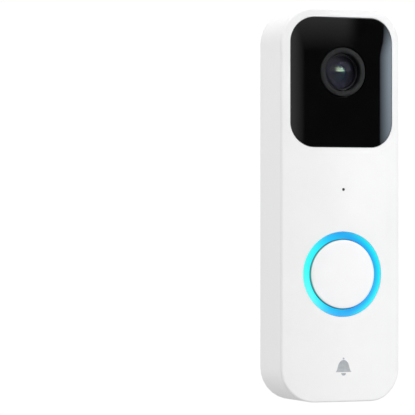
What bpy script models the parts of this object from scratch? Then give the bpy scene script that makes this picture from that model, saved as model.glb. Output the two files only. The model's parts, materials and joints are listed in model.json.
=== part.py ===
"""Battery video doorbell: wall plate, camera unit and everything inside it.

Lengths are in millimetres until they reach the mesh. A point is given as (x, depth, z):
x to the viewer's right, depth out from the wall (-Y), z up, with the origin at the centre
of the wall plate's back face.
"""
from math import cos, pi, radians, sin, sqrt

import bmesh
import bpy
from mathutils import Matrix, Vector

MM = 0.001

# Outer form
WIDTH = 42.4
HEIGHT = 130.0
DEPTH = 23.4
CORNER = 11.0
REAR_START = 1.5            # the case stands this far off the wall
SEAM_REAR = 20.05
SEAM_FRONT = 20.4
CAP_PROUD = 0.2             # how far the button stands out of the cover
FRONT = DEPTH - CAP_PROUD   # deepest line of the cover's crowned face
CROWN_SAG = 2.1             # how much the crown falls away at the sides
COVER_FILLET = 0.55
REAR_FILLET = 1.0
SEAM_FILLET = 0.25
SEAL_SLACK = 0.08           # room left each side of the seal in the seam

# Walls and floors
CASE_WALL = 1.8
COVER_SKIN = 1.6
TONGUE_OUTER = 2.1
TONGUE_INNER = 3.1
TONGUE_END = 17.8
FLOOR_REAR = 4.5
FLOOR_FRONT = 6.0
GAP = 0.3                   # usual clearance between two pieces

# Battery bay: two AA cells side by side
CELL_RADIUS = 7.25
CELL_LENGTH = 50.5
CELL_SPREAD = 7.55
CELL_DEPTH = 9.65
CELL_LOW = -50.3
BAY_HALF = 15.5
BAY_LOW = -53.5
BAY_HIGH = 2.5
BAY_WALL = 1.2
BAY_ROOF = 17.1
BAY_ROOF_FRONT = 17.9

# Window and camera
WINDOW_WIDTH = 36.6
WINDOW_HEIGHT = 42.9
WINDOW_CORNER = 8.2
WINDOW_Z = 40.75
WINDOW_THICK = 1.5
SIGHT_WIDTH = 26.0          # opening in the cover behind the window
SIGHT_HEIGHT = 36.0
SIGHT_Z = 39.5
LENS_Z = 44.2
BEZEL_RADIUS = 8.15
BEZEL_BORE = 6.2

# Button
BUTTON_Z = -22.75
RING_RADIUS = 14.1
RING_BORE = 11.45
RING_DROP = 0.12            # how far the ring's outer edge lies below the crown
RING_DIP = 0.85             # and its inner edge, beside the button
CAP_RADIUS = 11.3
MICROPHONE_Z = 5.3

# Boards
BOARD_REAR = 18.2
BOARD_FRONT = 19.0
CAMERA_BOARD_REAR = 8.0
CAMERA_BOARD_FRONT = 8.8

# Wall plate
PLATE_WIDTH = 37.8
PLATE_HEIGHT = 124.4
PLATE_CORNER = 8.7
PLATE_BASE = 1.8
PLATE_RIM = 3.6
RIM_WALL = 1.2
WALL_SCREW_Z = 37.4
WALL_SCREW_HOLE = 2.2
TERMINAL_X = 9.0
TERMINAL_Z = 19.3
CONTACT_Z = 13.5
WIRE_Z = 27.5               # middle of the square opening for the doorbell wires
WIRE_HALF = 4.0
HOOK_HALF = 4.9             # the tab on the top edge that the camera unit hangs on
HOOK_TIP = 64.0
LATCH_LOW = -60.99          # lower edge of the slot that frees the latch tongue
LATCH_HIGH = -57.4
NOSE_Z = -62.2

# Lens stack, as depths
BARREL_RADIUS = 5.9
BARREL_BORE = 4.4
BARREL_REAR = 13.2
BARREL_FRONT = 21.3
GLASS_RADIUS = 5.3
GLASS_REAR = 19.8
DOME_RIM = 21.0
DOME_RISE = 1.2
DOME_ANGLE = pi / 2.6
HOLDER_TOWER = 7.5

# Night filter: two holes side by side in a sliding frame
FILTER_DEPTH = 11.45
FILTER_HALF = 4.5

# Camera board
LED_X = 8.3
LED_Z = 28.2
RESET_Z = 36.0
SENSOR_HALF_WIDTH = 4.2
SENSOR_HALF_HEIGHT = 3.6

# Main board and what stands on it
BOARD_HALF = 17.7
BOARD_LOW = -52.0
BOARD_HIGH = 17.0
CHIP_FOOT = 19.15           # rear face of the chips on the board's front
CHIP_Z = -45.0

# Speaker, firing down through slots in the case's lower edge
SPEAKER_DEPTH = 12.0
SPEAKER_LOW = -62.1
SPEAKER_HIGH = -57.2
GASKET_LOW = -62.95
GASKET_HIGH = -62.3
SPEAKER_FACE = (20.0, 10.0)
SPEAKER_WELL = (17.0, 7.4)
CONE_RIM = (16.2, 6.6)
CONE_MIDDLE = (13.0, 3.6)

# Steel strips at the ends of the cells
STRIP_THICK = 0.3
STRIP_DEPTHS = (6.0, 13.0)

# Case screws, upper and lower pair, as (x, z)
UPPER_SCREW = (14.2, 57.0)
LOWER_SCREW = (12.9, -58.1)

# Joint places, as (x, depth, z)
TILT_AXIS = (0.0, 3.4, 63.3)
LATCH_AXIS = (-9.5, 2.0, -60.1)
FILTER_TRAVEL = 5.6

CROWN_RADIUS = ((WIDTH / 2) ** 2 + CROWN_SAG ** 2) / (2 * CROWN_SAG)

# Finish: colour, roughness, metallic
FINISHES = {
    "white_abs": ((0.86, 0.86, 0.86), 0.45, 0.0),
    "black_acrylic": ((0.006, 0.006, 0.007), 0.06, 0.0),
    "black_nylon": ((0.027, 0.027, 0.028), 0.6, 0.0),
    "lens_glass": ((0.10, 0.12, 0.16), 0.02, 0.0),
    "filter_glass": ((0.55, 0.75, 0.80), 0.02, 0.0),
    "light_guide": ((0.03, 0.72, 1.0), 0.35, 0.0),
    "grey_silicone": ((0.35, 0.35, 0.36), 0.7, 0.0),
    "black_rubber": ((0.02, 0.02, 0.02), 0.75, 0.0),
    "adhesive_foam": ((0.05, 0.05, 0.05), 0.85, 0.0),
    "circuit_laminate": ((0.02, 0.16, 0.09), 0.5, 0.0),
    "epoxy_chip": ((0.02, 0.02, 0.022), 0.5, 0.0),
    "clear_epoxy": ((0.75, 0.78, 0.80), 0.15, 0.0),
    "polyimide": ((0.50, 0.23, 0.04), 0.4, 0.0),
    "tinned_steel": ((0.55, 0.55, 0.54), 0.35, 1.0),
    "sprung_steel": ((0.62, 0.61, 0.58), 0.3, 1.0),
    "brass": ((0.78, 0.57, 0.27), 0.3, 1.0),
    "gold_plate": ((0.83, 0.62, 0.28), 0.25, 1.0),
    "cell_jacket": ((0.04, 0.07, 0.10), 0.3, 0.0),
    "paper_cone": ((0.06, 0.06, 0.06), 0.8, 0.0),
}


# ---------------------------------------------------------------- outlines

def crown(x):
    """Depth of the cover's crowned face: an arc about an upright axis."""
    return FRONT - CROWN_RADIUS + sqrt(CROWN_RADIUS ** 2 - x * x)


def under_crown(drop):
    """A depth that follows the crown at a fixed distance below it."""
    return lambda x: crown(x) - drop


def circle(radius, steps=32):
    """Upper half of a circle, from left to right."""
    half = steps // 2
    return [(-radius * cos(pi * i / half), radius * sin(pi * i / half)) for i in range(half + 1)]


def rounded(width, height, radius, arc_steps=6, top_steps=1):
    """Upper half of a rounded rectangle, from left to right."""
    flat = width / 2 - radius
    rise = height / 2 - radius
    arc = [(flat + radius * cos(pi / 2 * i / arc_steps), rise + radius * sin(pi / 2 * i / arc_steps))
           for i in range(arc_steps + 1)]
    left = [(-x, z) for x, z in arc]
    top = [(-flat + 2 * flat * i / top_steps, height / 2) for i in range(1, top_steps)]
    return left + top + arc[::-1]


def case_outline(inset):
    """The doorbell's outline, pulled in by a wall thickness."""
    return rounded(WIDTH - 2 * inset, HEIGHT - 2 * inset, CORNER - inset, 7, 6)


def window_outline(grow):
    return rounded(WINDOW_WIDTH + 2 * grow, WINDOW_HEIGHT + 2 * grow, WINDOW_CORNER + grow, 5, 5)


def full_ring(chain):
    """Close an upper half outline with its mirror image below."""
    lower = [(x, -z) for x, z in reversed(chain) if z > 1e-6]
    return [(x, max(z, 0.0)) for x, z in chain] + lower


# ---------------------------------------------------------------- solids

def place(x, depth, z):
    return Vector((x, -depth, z)) * MM


def finish_shape(shape):
    bmesh.ops.recalc_face_normals(shape, faces=shape.faces)
    return shape


def skin_between(shape, low, high):
    count = len(low)
    for i in range(count):
        j = (i + 1) % count
        shape.faces.new((low[i], low[j], high[j], high[i]))


def cap_ring(shape, ring, chain_length):
    """Close a ring with strips that run from its upper half to its lower half."""
    count = len(ring)
    shared = count == 2 * chain_length - 2
    for i in range(chain_length - 1):
        low = [(count - i) % count, (count - i - 1) % count] if shared else [count - 1 - i, count - 2 - i]
        corners = []
        for index in (i, i + 1, low[1], low[0]):
            if ring[index] not in corners:
                corners.append(ring[index])
        shape.faces.new(corners)


def stacked(sections, centre=(0.0, 0.0), looped=False):
    """Solid through a stack of (outline, depth) sections; a looped one is a closed frame."""
    shape = bmesh.new()
    rings = []
    for chain, depth in sections:
        level = depth if callable(depth) else (lambda x, fixed=depth: fixed)
        rings.append([shape.verts.new(place(centre[0] + x, level(centre[0] + x), centre[1] + z))
                      for x, z in full_ring(chain)])
    for low, high in zip(rings, rings[1:]):
        skin_between(shape, low, high)
    if looped:
        skin_between(shape, rings[-1], rings[0])
    else:
        cap_ring(shape, rings[0], len(sections[0][0]))
        cap_ring(shape, rings[-1], len(sections[-1][0]))
    return finish_shape(shape)


def turned(profile, centre, steps=24, upright=False, looped=False):
    """Solid of revolution through (radius, height) points.

    The axis runs out from the wall through centre (x, z), or when upright, up through
    centre (x, depth). A looped profile is a closed ring round the axis.
    """
    shape = bmesh.new()
    rings = []
    for radius, height in profile:
        ring = []
        for i in range(steps if radius > 0 else 1):
            angle = 2 * pi * (i + 0.5) / steps
            across = centre[0] + radius * cos(angle)
            along = centre[1] + radius * sin(angle)
            point = place(across, along, height) if upright else place(across, height, along)
            ring.append(shape.verts.new(point))
        rings.append(ring)
    pairs = list(zip(rings, rings[1:]))
    if looped:
        pairs.append((rings[-1], rings[0]))
    for low, high in pairs:
        for i in range(steps):
            j = (i + 1) % steps
            corners = []
            for vertex in (low[i % len(low)], low[j % len(low)], high[j % len(high)], high[i % len(high)]):
                if vertex not in corners:
                    corners.append(vertex)
            shape.faces.new(corners)
    if not looped:
        for ring in (rings[0], rings[-1]):
            if len(ring) > 1:
                shape.faces.new(ring)
    return finish_shape(shape)


def rod(radius, low, high, centre, steps=20, upright=False):
    return turned([(radius, low), (radius, high)], centre, steps, upright)


def block(x, depth, z, edge=0.0):
    """Box between pairs of limits, its edges rounded off by edge."""
    shape = bmesh.new()
    low = place(x[0], depth[1], z[0])
    high = place(x[1], depth[0], z[1])
    size = high - low
    matrix = Matrix.Translation((low + high) / 2) @ Matrix.Diagonal((*size, 1.0))
    bmesh.ops.create_cube(shape, size=1.0, matrix=matrix)
    if edge:
        bmesh.ops.bevel(shape, geom=shape.edges[:], offset=edge * MM, segments=1, affect="EDGES",
                        clamp_overlap=True)
    return finish_shape(shape)


def ribbon(path, thickness, across, upright=False):
    """Strip of even thickness along a path of (depth, z) points, or (x, z) points when
    upright, drawn out between the two limits in across."""
    shape = bmesh.new()
    count = len(path)
    rows = []
    for i in range(count):
        before = Vector(path[max(i - 1, 0)])
        after = Vector(path[min(i + 1, count - 1)])
        here = Vector(path[i])
        along = (after - before).normalized()
        side = Vector((-along.y, along.x)) * thickness / 2
        row = []
        for edge in (here + side, here - side):
            for limit in across:
                point = place(edge.x, limit, edge.y) if upright else place(limit, edge.x, edge.y)
                row.append(shape.verts.new(point))
        rows.append((row[0], row[1], row[3], row[2]))
    for low, high in zip(rows, rows[1:]):
        skin_between(shape, low, high)
    shape.faces.new(rows[0])
    shape.faces.new(rows[-1])
    return finish_shape(shape)


def together(*shapes):
    """Several separate solids in one mesh."""
    merged = bmesh.new()
    for shape in shapes:
        mesh = bpy.data.meshes.new("scratch")
        shape.to_mesh(mesh)
        shape.free()
        merged.from_mesh(mesh)
        bpy.data.meshes.remove(mesh)
    return merged


# ---------------------------------------------------------------- objects

def make_material(name, finish):
    colour, roughness, metallic = FINISHES[finish]
    material = bpy.data.materials.new(name + "_" + finish)
    material.use_nodes = True
    shader = material.node_tree.nodes["Principled BSDF"]
    shader.inputs["Base Color"].default_value = (*colour, 1.0)
    shader.inputs["Roughness"].default_value = roughness
    shader.inputs["Metallic"].default_value = metallic
    if finish == "light_guide":
        shader.inputs["Emission Color"].default_value = (*colour, 1.0)
        shader.inputs["Emission Strength"].default_value = 1.0
    return material


def joint_empty(name, origin, parent=None):
    """Empty on a joint's axis, which the pieces of one moving body hang from."""
    empty = bpy.data.objects.new(name, None)
    empty.location = place(*origin)
    empty.empty_display_size = 0.005
    bpy.context.scene.collection.objects.link(empty)
    if parent:
        hang_from(empty, parent)
    return empty


def world_place(thing):
    """Where an unrotated object stands, its own location being given in the world."""
    return thing.location.copy()


def hang_from(thing, parent):
    thing.parent = parent
    thing.matrix_parent_inverse = Matrix.Translation(-world_place(parent))


def mesh_object(name, shape, origin):
    shape.transform(Matrix.Translation(-place(*origin)))
    mesh = bpy.data.meshes.new(name)
    shape.to_mesh(mesh)
    shape.free()
    mesh.shade_smooth()
    mesh.set_sharp_from_angle(angle=radians(35))
    thing = bpy.data.objects.new(name, mesh)
    thing.location = place(*origin)
    bpy.context.scene.collection.objects.link(thing)
    return thing


def piece(name, shape, finish, parent, origin):
    thing = mesh_object(name, shape, origin)
    thing.data.materials.append(make_material(name, finish))
    if parent:
        hang_from(thing, parent)
    return thing


def combine(target, shape, label, operation):
    """Boolean with a guide mesh that stays out of the model."""
    origin = world_place(target) / MM
    guide = mesh_object(target.name + "_" + label, shape, (origin.x, -origin.y, origin.z))
    guide.hide_render = True
    guide.display_type = "WIRE"
    hang_from(guide, target)
    modifier = target.modifiers.new(label, "BOOLEAN")
    modifier.operation = operation
    modifier.object = guide
    modifier.solver = "EXACT"


def cut(target, shape, label):
    combine(target, shape, label, "DIFFERENCE")


def add(target, shape, label):
    combine(target, shape, label, "UNION")


def cut_cross(target, centre, reach, half, depths):
    """Crossed driver slots in a screw's head."""
    x, z = centre
    cut(target, block((x - reach, x + reach), depths, (z - half, z + half)), "slot_across")
    cut(target, block((x - half, x + half), depths, (z - reach, z + reach)), "slot_upright")


def mirrored_pairs():
    """Names and signs for the left and right piece of a pair."""
    return (("left", -1), ("right", 1))


# ---------------------------------------------------------------- wall plate

def make_wall_plate():
    def outline(inset):
        return rounded(PLATE_WIDTH - 2 * inset, PLATE_HEIGHT - 2 * inset, PLATE_CORNER - inset, 5)

    top = PLATE_HEIGHT / 2
    plate = piece("mounting_plate", stacked([(outline(0.3), 0.0), (outline(0), 0.3), (outline(0), PLATE_RIM)]),
                  "white_abs", None, (0, 0, 0))
    cut(plate, stacked([(outline(RIM_WALL), PLATE_BASE), (outline(RIM_WALL), PLATE_RIM + 1)]), "tray")
    add(plate, together(block((-5, 5), (1.2, 3.9), (top - 1.2, top - 0.01)),
                        block((-7.2, 7.2), (1.0, 2.7), (WIRE_Z - 4.9, WIRE_Z + 5.2))), "hook_root")
    add(plate, block((-HOOK_HALF, HOOK_HALF), (2.8, 3.85), (top - 0.8, HOOK_TIP)), "hook_tab")
    openings = [block((-6, 6), (-1, 5), (WIRE_Z - WIRE_HALF, WIRE_Z + WIRE_HALF))]
    countersunk = [(WALL_SCREW_HOLE, -1.0), (WALL_SCREW_HOLE, 0.4), (4.1, 1.9), (4.1, 2.4)]
    for z in (-WALL_SCREW_Z, WALL_SCREW_Z):
        openings.append(turned(countersunk, (0, z), 24))
    for _, side in mirrored_pairs():
        openings.append(rod(1.6, -1.0, 3.0, (side * TERMINAL_X, TERMINAL_Z), 20))
    cut(plate, together(*openings), "openings")
    cut(plate, block((-11.0, 3.6), (-1, 5), (LATCH_LOW, LATCH_HIGH)), "latch_window")
    cut(plate, block((-2.9, 2.9), (-1, 5), (-63.0, LATCH_LOW + 0.09)), "latch_gate")

    for name, side in mirrored_pairs():
        x = side * TERMINAL_X
        strip = piece("terminal_strip_" + name, block((x - 3, x + 3), (2.0, 2.5), (10.7, 22.3), 0.12),
                      "brass", None, (x, 2.25, 16.5))
        cut(strip, rod(1.7, 1.0, 3.5, (x, TERMINAL_Z), 20), "screw_hole")
        head = turned([(0, 0.3), (0.9, 0.3), (1.3, 0.8), (1.3, 2.7), (2.75, 2.7), (2.75, 3.7), (2.4, 4.1),
                       (0, 4.1)], (x, TERMINAL_Z), 16)
        pivot = joint_empty("terminal_screw_" + name + "_axis", (x, 2.0, TERMINAL_Z))
        screw = piece("terminal_screw_" + name, head, "brass", pivot, (x, 2.0, TERMINAL_Z))
        cut_cross(screw, (x, TERMINAL_Z), 2.0, 0.35, (3.4, 4.5))


def make_latch():
    """Springy tongue in the plate's lower edge, whose nose catches the rear housing."""
    pivot = joint_empty("latch_axis", LATCH_AXIS)
    beam = block((-10.6, 3.0), (0.6, 3.4), (-60.7, -59.5), 0.2)
    tongue = piece("latch_tongue", beam, "white_abs", pivot, LATCH_AXIS)
    add(tongue, block((-10.6, -8.3), (0.5, 3.45), (-60.75, -58.5), 0.2), "root")
    nose = stacked([([(-2.4, 1.6), (2.4, 1.6)], 2.4), ([(-2.4, 1.6), (2.4, 1.6)], 2.9),
                    ([(-2.4, 0.9), (2.4, 0.9)], 3.35)], (0, NOSE_Z))
    add(tongue, nose, "nose")


# ---------------------------------------------------------------- case

def make_rear_housing(unit):
    rear_edge = [(case_outline(REAR_FILLET * (1 - sin(a))), REAR_START + REAR_FILLET * (1 - cos(a)))
                 for a in (0, pi / 6, pi / 3, pi / 2)]
    seam_edge = [(case_outline(0), SEAM_REAR - SEAM_FILLET), (case_outline(SEAM_FILLET), SEAM_REAR)]
    housing = piece("rear_housing", stacked(rear_edge + seam_edge), "white_abs", unit, (0, 10.6, 0))

    inner = case_outline(CASE_WALL)
    cut(housing, stacked([(inner, 0.5), (inner, FLOOR_REAR)]), "rear_recess")
    cut(housing, stacked([(inner, FLOOR_FRONT), (inner, SEAM_REAR + 1)]), "front_cavity")
    middle = (BAY_LOW + BAY_HIGH) / 2
    bay_height = BAY_HIGH - BAY_LOW
    bay_outer = rounded(2 * (BAY_HALF + BAY_WALL), bay_height + 2 * BAY_WALL, 4.0, 4)
    bay_inner = rounded(2 * BAY_HALF, bay_height, 2.8, 4)
    add(housing, stacked([(bay_outer, FLOOR_REAR + 0.6), (bay_outer, BAY_ROOF_FRONT)], (0, middle)), "bay")
    cut(housing, stacked([(bay_inner, 0.5), (bay_inner, BAY_ROOF)], (0, middle)), "cells")

    posts = []
    holes = []
    for _, side in mirrored_pairs():
        for x, z in (UPPER_SCREW, LOWER_SCREW):
            posts.append(rod(2.1, FLOOR_FRONT - 0.6, 12.0, (side * x, z), 20))
            holes.append(rod(1.2, 3.5, 13.0, (side * x, z), 16))
        for z in (30.0, 54.0):
            posts.append(rod(1.4, FLOOR_FRONT - 0.6, CAMERA_BOARD_REAR - GAP, (side * 9.2, z), 16))
    add(housing, together(*posts), "posts")
    holes.append(rod(2.05, 3.5, 7.0, (0, RESET_Z), 20))
    for _, side in mirrored_pairs():
        holes.append(rod(1.05, 3.5, 7.0, (side * TERMINAL_X, CONTACT_Z), 16))
    cut(housing, together(*holes), "screw_holes")

    slots = [block((-6.5, 6.5), (depth - 0.6, depth + 0.6), (-66, -62.6)) for depth in (9.4, 12.0, 14.6)]
    pockets = [block((-5.5, 5.5), (2.4, FLOOR_REAR - 0.01), (62.6, 64.4)),
               block((-3.2, 3.2), (2.2, 4.1), (-64.3, -62.6))]
    cut(housing, together(*slots, *pockets), "slots")
    cut(housing, rod(0.9, -66.0, -64.0, (0, 3.1), 16, upright=True), "release_hole")


def make_front_cover(unit):
    rim = SEAM_FRONT
    outer = [(case_outline(SEAM_FILLET), rim)]
    for i in range(4):
        angle = pi / 2 * i / 3
        inset = COVER_FILLET * (1 - cos(angle))
        drop = COVER_FILLET * (1 - sin(angle))
        outer.append((case_outline(inset), under_crown(drop)))
    cover = piece("front_cover", stacked(outer), "white_abs", unit, (0, 21.4, 0))
    inner = case_outline(1.9)
    cut(cover, stacked([(inner, rim - 3), (inner, under_crown(COVER_SKIN))]), "inside")

    tongue = [(case_outline(TONGUE_OUTER), TONGUE_END), (case_outline(TONGUE_OUTER), under_crown(1.0)),
              (case_outline(TONGUE_INNER), under_crown(1.0)), (case_outline(TONGUE_INNER), TONGUE_END)]
    add(cover, stacked(tongue, looped=True), "tongue")
    ledge = [(window_outline(0.9), under_crown(3.2)), (window_outline(0.9), under_crown(0.9))]
    add(cover, stacked(ledge, (0, WINDOW_Z)), "window_ledge")
    bosses = [rod(2.1, 12.3, 21.4, (side * x, z), 20)
              for _, side in mirrored_pairs() for x, z in (UPPER_SCREW, LOWER_SCREW)]
    add(cover, together(*bosses), "bosses")
    pocket = [(window_outline(0.15), under_crown(2.0)), (window_outline(0.15), under_crown(-2.0))]
    cut(cover, stacked(pocket, (0, WINDOW_Z)), "window_pocket")
    sight = rounded(SIGHT_WIDTH, SIGHT_HEIGHT, 5.0, 5)
    cut(cover, stacked([(sight, 17.0), (sight, 25.0)], (0, SIGHT_Z)), "window_opening")
    holes = [rod(RING_RADIUS + 0.25, 17.0, 25.0, (0, BUTTON_Z), 40),
             rod(0.45, 19.0, 25.0, (0, MICROPHONE_Z), 12)]
    holes += [rod(1.2, 11.5, 18.0, (side * x, z), 16)
              for _, side in mirrored_pairs() for x, z in (UPPER_SCREW, LOWER_SCREW)]
    cut(cover, together(*holes), "holes")


def make_case_fixings(unit):
    low = SEAM_REAR + SEAL_SLACK
    high = SEAM_FRONT - SEAL_SLACK
    outer = case_outline(0.7)
    inner = case_outline(1.7)
    seal = [(outer, low), (outer, high), (inner, high), (inner, low)]
    piece("perimeter_seal", stacked(seal, looped=True), "grey_silicone", unit, (0, (low + high) / 2, 0))
    for level, (x, z) in (("upper", UPPER_SCREW), ("lower", LOWER_SCREW)):
        for name, side in mirrored_pairs():
            body = turned([(0, 3.1), (1.5, 3.1), (1.9, 3.4), (1.9, 4.3), (0.95, 4.3), (0.95, 16.6), (0, 17.4)],
                          (side * x, z), 16)
            screw = piece("case_screw_" + level + "_" + name, body, "tinned_steel", unit, (side * x, 4.3, z))
            cut_cross(screw, (side * x, z), 1.2, 0.25, (2.5, 3.8))


# ---------------------------------------------------------------- camera

def make_window(unit):
    edge = 0.2
    pane = [(window_outline(-edge), under_crown(WINDOW_THICK)),
            (window_outline(0), under_crown(WINDOW_THICK - edge)),
            (window_outline(0), under_crown(edge)), (window_outline(-edge), under_crown(0.0))]
    window = piece("camera_window", stacked(pane, (0, WINDOW_Z)), "black_acrylic", unit, (0, 22.4, WINDOW_Z))
    cut(window, rod(BEZEL_RADIUS + 0.25, 19.0, 25.0, (0, LENS_Z), 32), "lens_hole")
    sheet = [(window_outline(-0.3), under_crown(1.9)), (window_outline(-0.3), under_crown(1.6))]
    adhesive = piece("window_adhesive", stacked(sheet, (0, WINDOW_Z)), "adhesive_foam", unit,
                     (0, 21.4, WINDOW_Z))
    opening = rounded(SIGHT_WIDTH + 1, SIGHT_HEIGHT + 1, 5.5, 5)
    cut(adhesive, stacked([(opening, 17.0), (opening, 25.0)], (0, SIGHT_Z)), "opening")


def make_lens(unit):
    def ring(radius):
        return circle(radius, 32)

    bezel = [(ring(BEZEL_RADIUS + 1.4), 20.3), (ring(BEZEL_RADIUS + 1.4), 21.0), (ring(BEZEL_RADIUS), 21.0),
             (ring(BEZEL_RADIUS), under_crown(0.25)), (ring(BEZEL_RADIUS - 0.2), under_crown(0.05)),
             (ring(BEZEL_BORE + 0.15), under_crown(0.05)), (ring(BEZEL_BORE), under_crown(0.25)),
             (ring(BEZEL_BORE), 20.3)]
    piece("lens_bezel", stacked(bezel, (0, LENS_Z), looped=True), "black_nylon", unit, (0, 21.0, LENS_Z))
    axis = (0, LENS_Z)
    piece("light_barrier", turned([(6.4, 18.7), (8.2, 18.7), (8.2, 20.0), (6.4, 20.0)], axis, 24, looped=True),
          "black_rubber", unit, (0, 19.3, LENS_Z))
    barrel = [(BARREL_BORE, BARREL_REAR), (BARREL_RADIUS, BARREL_REAR), (BARREL_RADIUS, BARREL_FRONT),
              (GLASS_RADIUS + 0.2, BARREL_FRONT), (GLASS_RADIUS + 0.2, GLASS_REAR - 0.2),
              (BARREL_BORE, GLASS_REAR - 0.2)]
    piece("lens_barrel", turned(barrel, axis, 24, looped=True), "black_nylon", unit, (0, 17.0, LENS_Z))
    dome = [(GLASS_RADIUS * sin(a), DOME_RIM + DOME_RISE * (cos(a) - cos(DOME_ANGLE)))
            for a in (DOME_ANGLE * i / 5 for i in range(6))]
    scale = GLASS_RADIUS / dome[-1][0]
    front = [(radius * scale, height) for radius, height in dome]
    front += [(GLASS_RADIUS, GLASS_REAR), (0, GLASS_REAR)]
    piece("front_lens", turned(front, axis, 24), "lens_glass", unit, (0, 20.4, LENS_Z))
    rear = [(0, 13.9), (2.4, 14.2), (4.1, 15.1), (4.1, 15.6), (2.4, 16.3), (0, 16.6)]
    piece("rear_lens", turned(rear, axis, 20), "lens_glass", unit, (0, 15.3, LENS_Z))

    holder = piece("lens_holder", block((-10.4, 10.4), (9.1, 15.6), (LENS_Z - 6.8, LENS_Z + 6.8), 0.4),
                   "black_nylon", unit, (0, 12.0, LENS_Z))
    add(holder, rod(HOLDER_TOWER, 15.0, 18.4, axis, 24), "tower")
    cut(holder, together(block((-6.2, 6.2), (8.0, 10.35), (LENS_Z - 5.4, LENS_Z + 5.4)),
                         rod(6.2, 12.8, 19.0, axis, 24)), "barrel_bore")
    cut(holder, block((-9.0, 9.6), (10.6, 12.3), (LENS_Z - 5.0, LENS_Z + 5.0)), "filter_slot")
    cut(holder, rod(3.4, 9.5, 13.5, axis, 24), "light_path")


def make_filter(unit):
    """Sliding frame that swaps the infrared-cut glass for plain air at night."""
    middle = (0, FILTER_DEPTH, LENS_Z)
    slide = joint_empty("filter_slide_axis", middle, unit)
    frame = block((-8.4, 3.4), (10.9, 12.0), (LENS_Z - FILTER_HALF, LENS_Z + FILTER_HALF), 0.15)
    carrier = piece("filter_carrier", frame, "black_nylon", slide, middle)
    cut(carrier, together(rod(2.7, 10.0, 13.0, (0, LENS_Z), 24),
                          rod(2.5, 10.0, 13.0, (-FILTER_TRAVEL, LENS_Z), 24)), "apertures")
    piece("infrared_filter", rod(2.5, 11.2, 11.7, (0, LENS_Z), 24), "filter_glass", slide, middle)


def make_camera_board(unit):
    piece("camera_board", block((-11.5, 11.5), (CAMERA_BOARD_REAR, CAMERA_BOARD_FRONT), (22.8, 57.4), 0.1),
          "circuit_laminate", unit, (0, 8.4, 40.0))
    across = (-SENSOR_HALF_WIDTH, SENSOR_HALF_WIDTH)
    upright = (LENS_Z - SENSOR_HALF_HEIGHT, LENS_Z + SENSOR_HALF_HEIGHT)
    piece("image_sensor", block(across, (9.0, 9.9), upright, 0.1), "epoxy_chip", unit, (0, 9.4, LENS_Z))
    for name, side in mirrored_pairs():
        led = [(0, 9.0), (1.8, 9.0), (1.8, 16.6), (2.9, 16.6), (2.9, 17.6), (2.45, 17.6), (2.45, 19.0),
               (1.9, 19.9), (1.0, 20.35), (0, 20.5)]
        piece("infrared_led_" + name, turned(led, (side * LED_X, LED_Z), 16), "clear_epoxy", unit,
              (side * LED_X, 17.0, LED_Z))
    piece("light_sensor", block((-1.6, 1.6), (9.0, 10.2), (30.6, 33.4), 0.15), "clear_epoxy", unit,
          (0, 9.6, 32.0))
    piece("reset_switch", block((-2.3, 2.3), (7.0, 7.8), (RESET_Z - 2.3, RESET_Z + 2.3), 0.15), "epoxy_chip",
          unit, (0, 7.4, RESET_Z))
    reset = joint_empty("reset_button_axis", (0, 5.4, RESET_Z), unit)
    plunger = [(0, 4.3), (1.4, 4.3), (1.7, 4.6), (1.7, 6.2), (2.3, 6.2), (2.3, 6.55), (0, 6.55)]
    piece("reset_button", turned(plunger, (0, RESET_Z), 20), "grey_silicone", reset, (0, 5.4, RESET_Z))

    path = [(9.25, 27.2), (9.25, 22.4)]
    path += [(9.25 + 3.0 * (1 - cos(a)), 22.4 - 3.0 * sin(a)) for a in (pi / 6, pi / 3, pi / 2)]
    path += [(14.6, 19.4), (16.8, 19.4)]
    path += [(16.8 + 2.5 * sin(a), 16.9 + 2.5 * cos(a)) for a in (pi / 6, pi / 3, pi / 2)]
    path += [(19.3, 12.4)]
    piece("camera_flex", ribbon(path, 0.25, (-4.5, 4.5)), "polyimide", unit, (0, 14.0, 19.0))


# ---------------------------------------------------------------- button

def make_light_ring(unit):
    def ring(radius):
        return circle(radius, 40)

    guide = [(ring(12.4), 19.75), (ring(15.2), 19.75), (ring(15.2), 20.4), (ring(RING_RADIUS), 20.4),
             (ring(RING_RADIUS), under_crown(0.3)), (ring(RING_RADIUS - 0.15), under_crown(RING_DROP)),
             (ring(RING_BORE + 0.15), under_crown(RING_DIP)), (ring(RING_BORE), under_crown(RING_DIP + 0.1)),
             (ring(RING_BORE), 21.5), (ring(12.4), 21.5)]
    piece("light_ring", stacked(guide, (0, BUTTON_Z), looped=True), "light_guide", unit, (0, 21.0, BUTTON_Z))
    for i in range(6):
        angle = 2 * pi * (i + 0.5) / 6
        x = 13.3 * cos(angle)
        z = BUTTON_Z + 13.3 * sin(angle)
        piece("ring_led_" + str(i + 1), block((x - 0.7, x + 0.7), (CHIP_FOOT, 19.6), (z - 0.7, z + 0.7), 0.08),
              "clear_epoxy", unit, (x, 19.4, z))


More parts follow.
